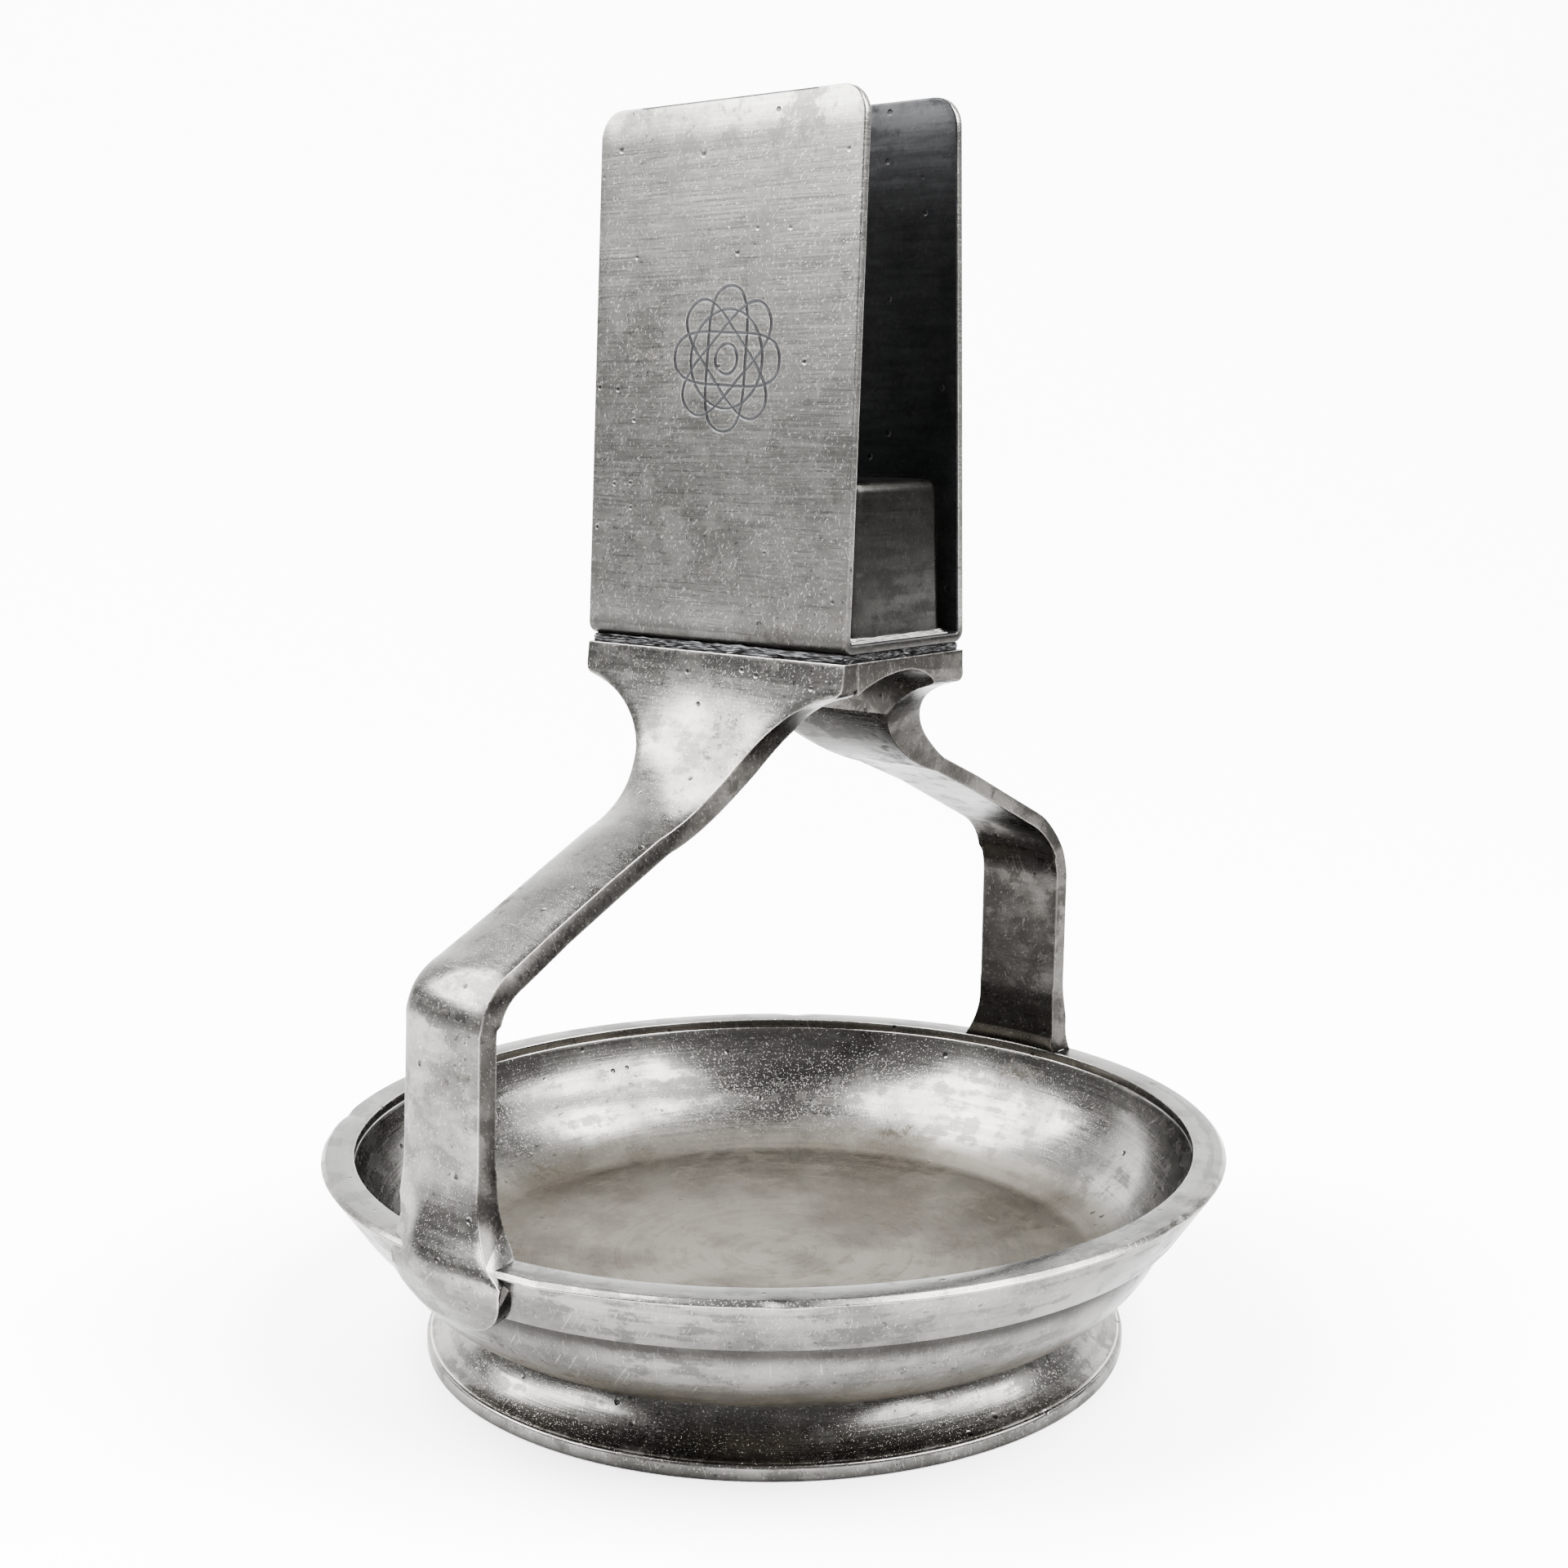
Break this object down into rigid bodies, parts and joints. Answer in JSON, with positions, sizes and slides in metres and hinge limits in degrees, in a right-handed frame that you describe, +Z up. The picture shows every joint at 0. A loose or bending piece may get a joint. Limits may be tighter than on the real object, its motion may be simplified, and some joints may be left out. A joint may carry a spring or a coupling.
{
  "type": "matchbox stand",
  "caption": "Table stand for a matchbox: a footed round ash dish whose rim carries an arched pair of arms with a spring clip and lug on top.",
  "frame": {"origin": "middle of the foot's underside, where the stand rests on a table", "axes": "+Z up, through the middle of the dish; the front arm stands at -Y and the rear arm at +Y; the clip is open towards -X and +X"},
  "size_m": [0.0968, 0.0996, 0.13],
  "materials": {
    "silver_plate": "worn polished silver plate with fine brush marks and scratches",
    "dish_plate": "silver plate, dull and lightly stained inside",
    "tarnished_plate": "dark tarnished silver plate with specks of solder"
  },
  "bodies": {
    "root": {"foot_wire": "silver_plate", "foot_ring": "silver_plate", "dish_bowl": "dish_plate", "rim_band": "silver_plate", "front_arm": "silver_plate", "rear_arm": "silver_plate", "seat_plate": "tarnished_plate", "spring_clip": "silver_plate", "box_lug": "tarnished_plate"}
  },
  "joints": []
}
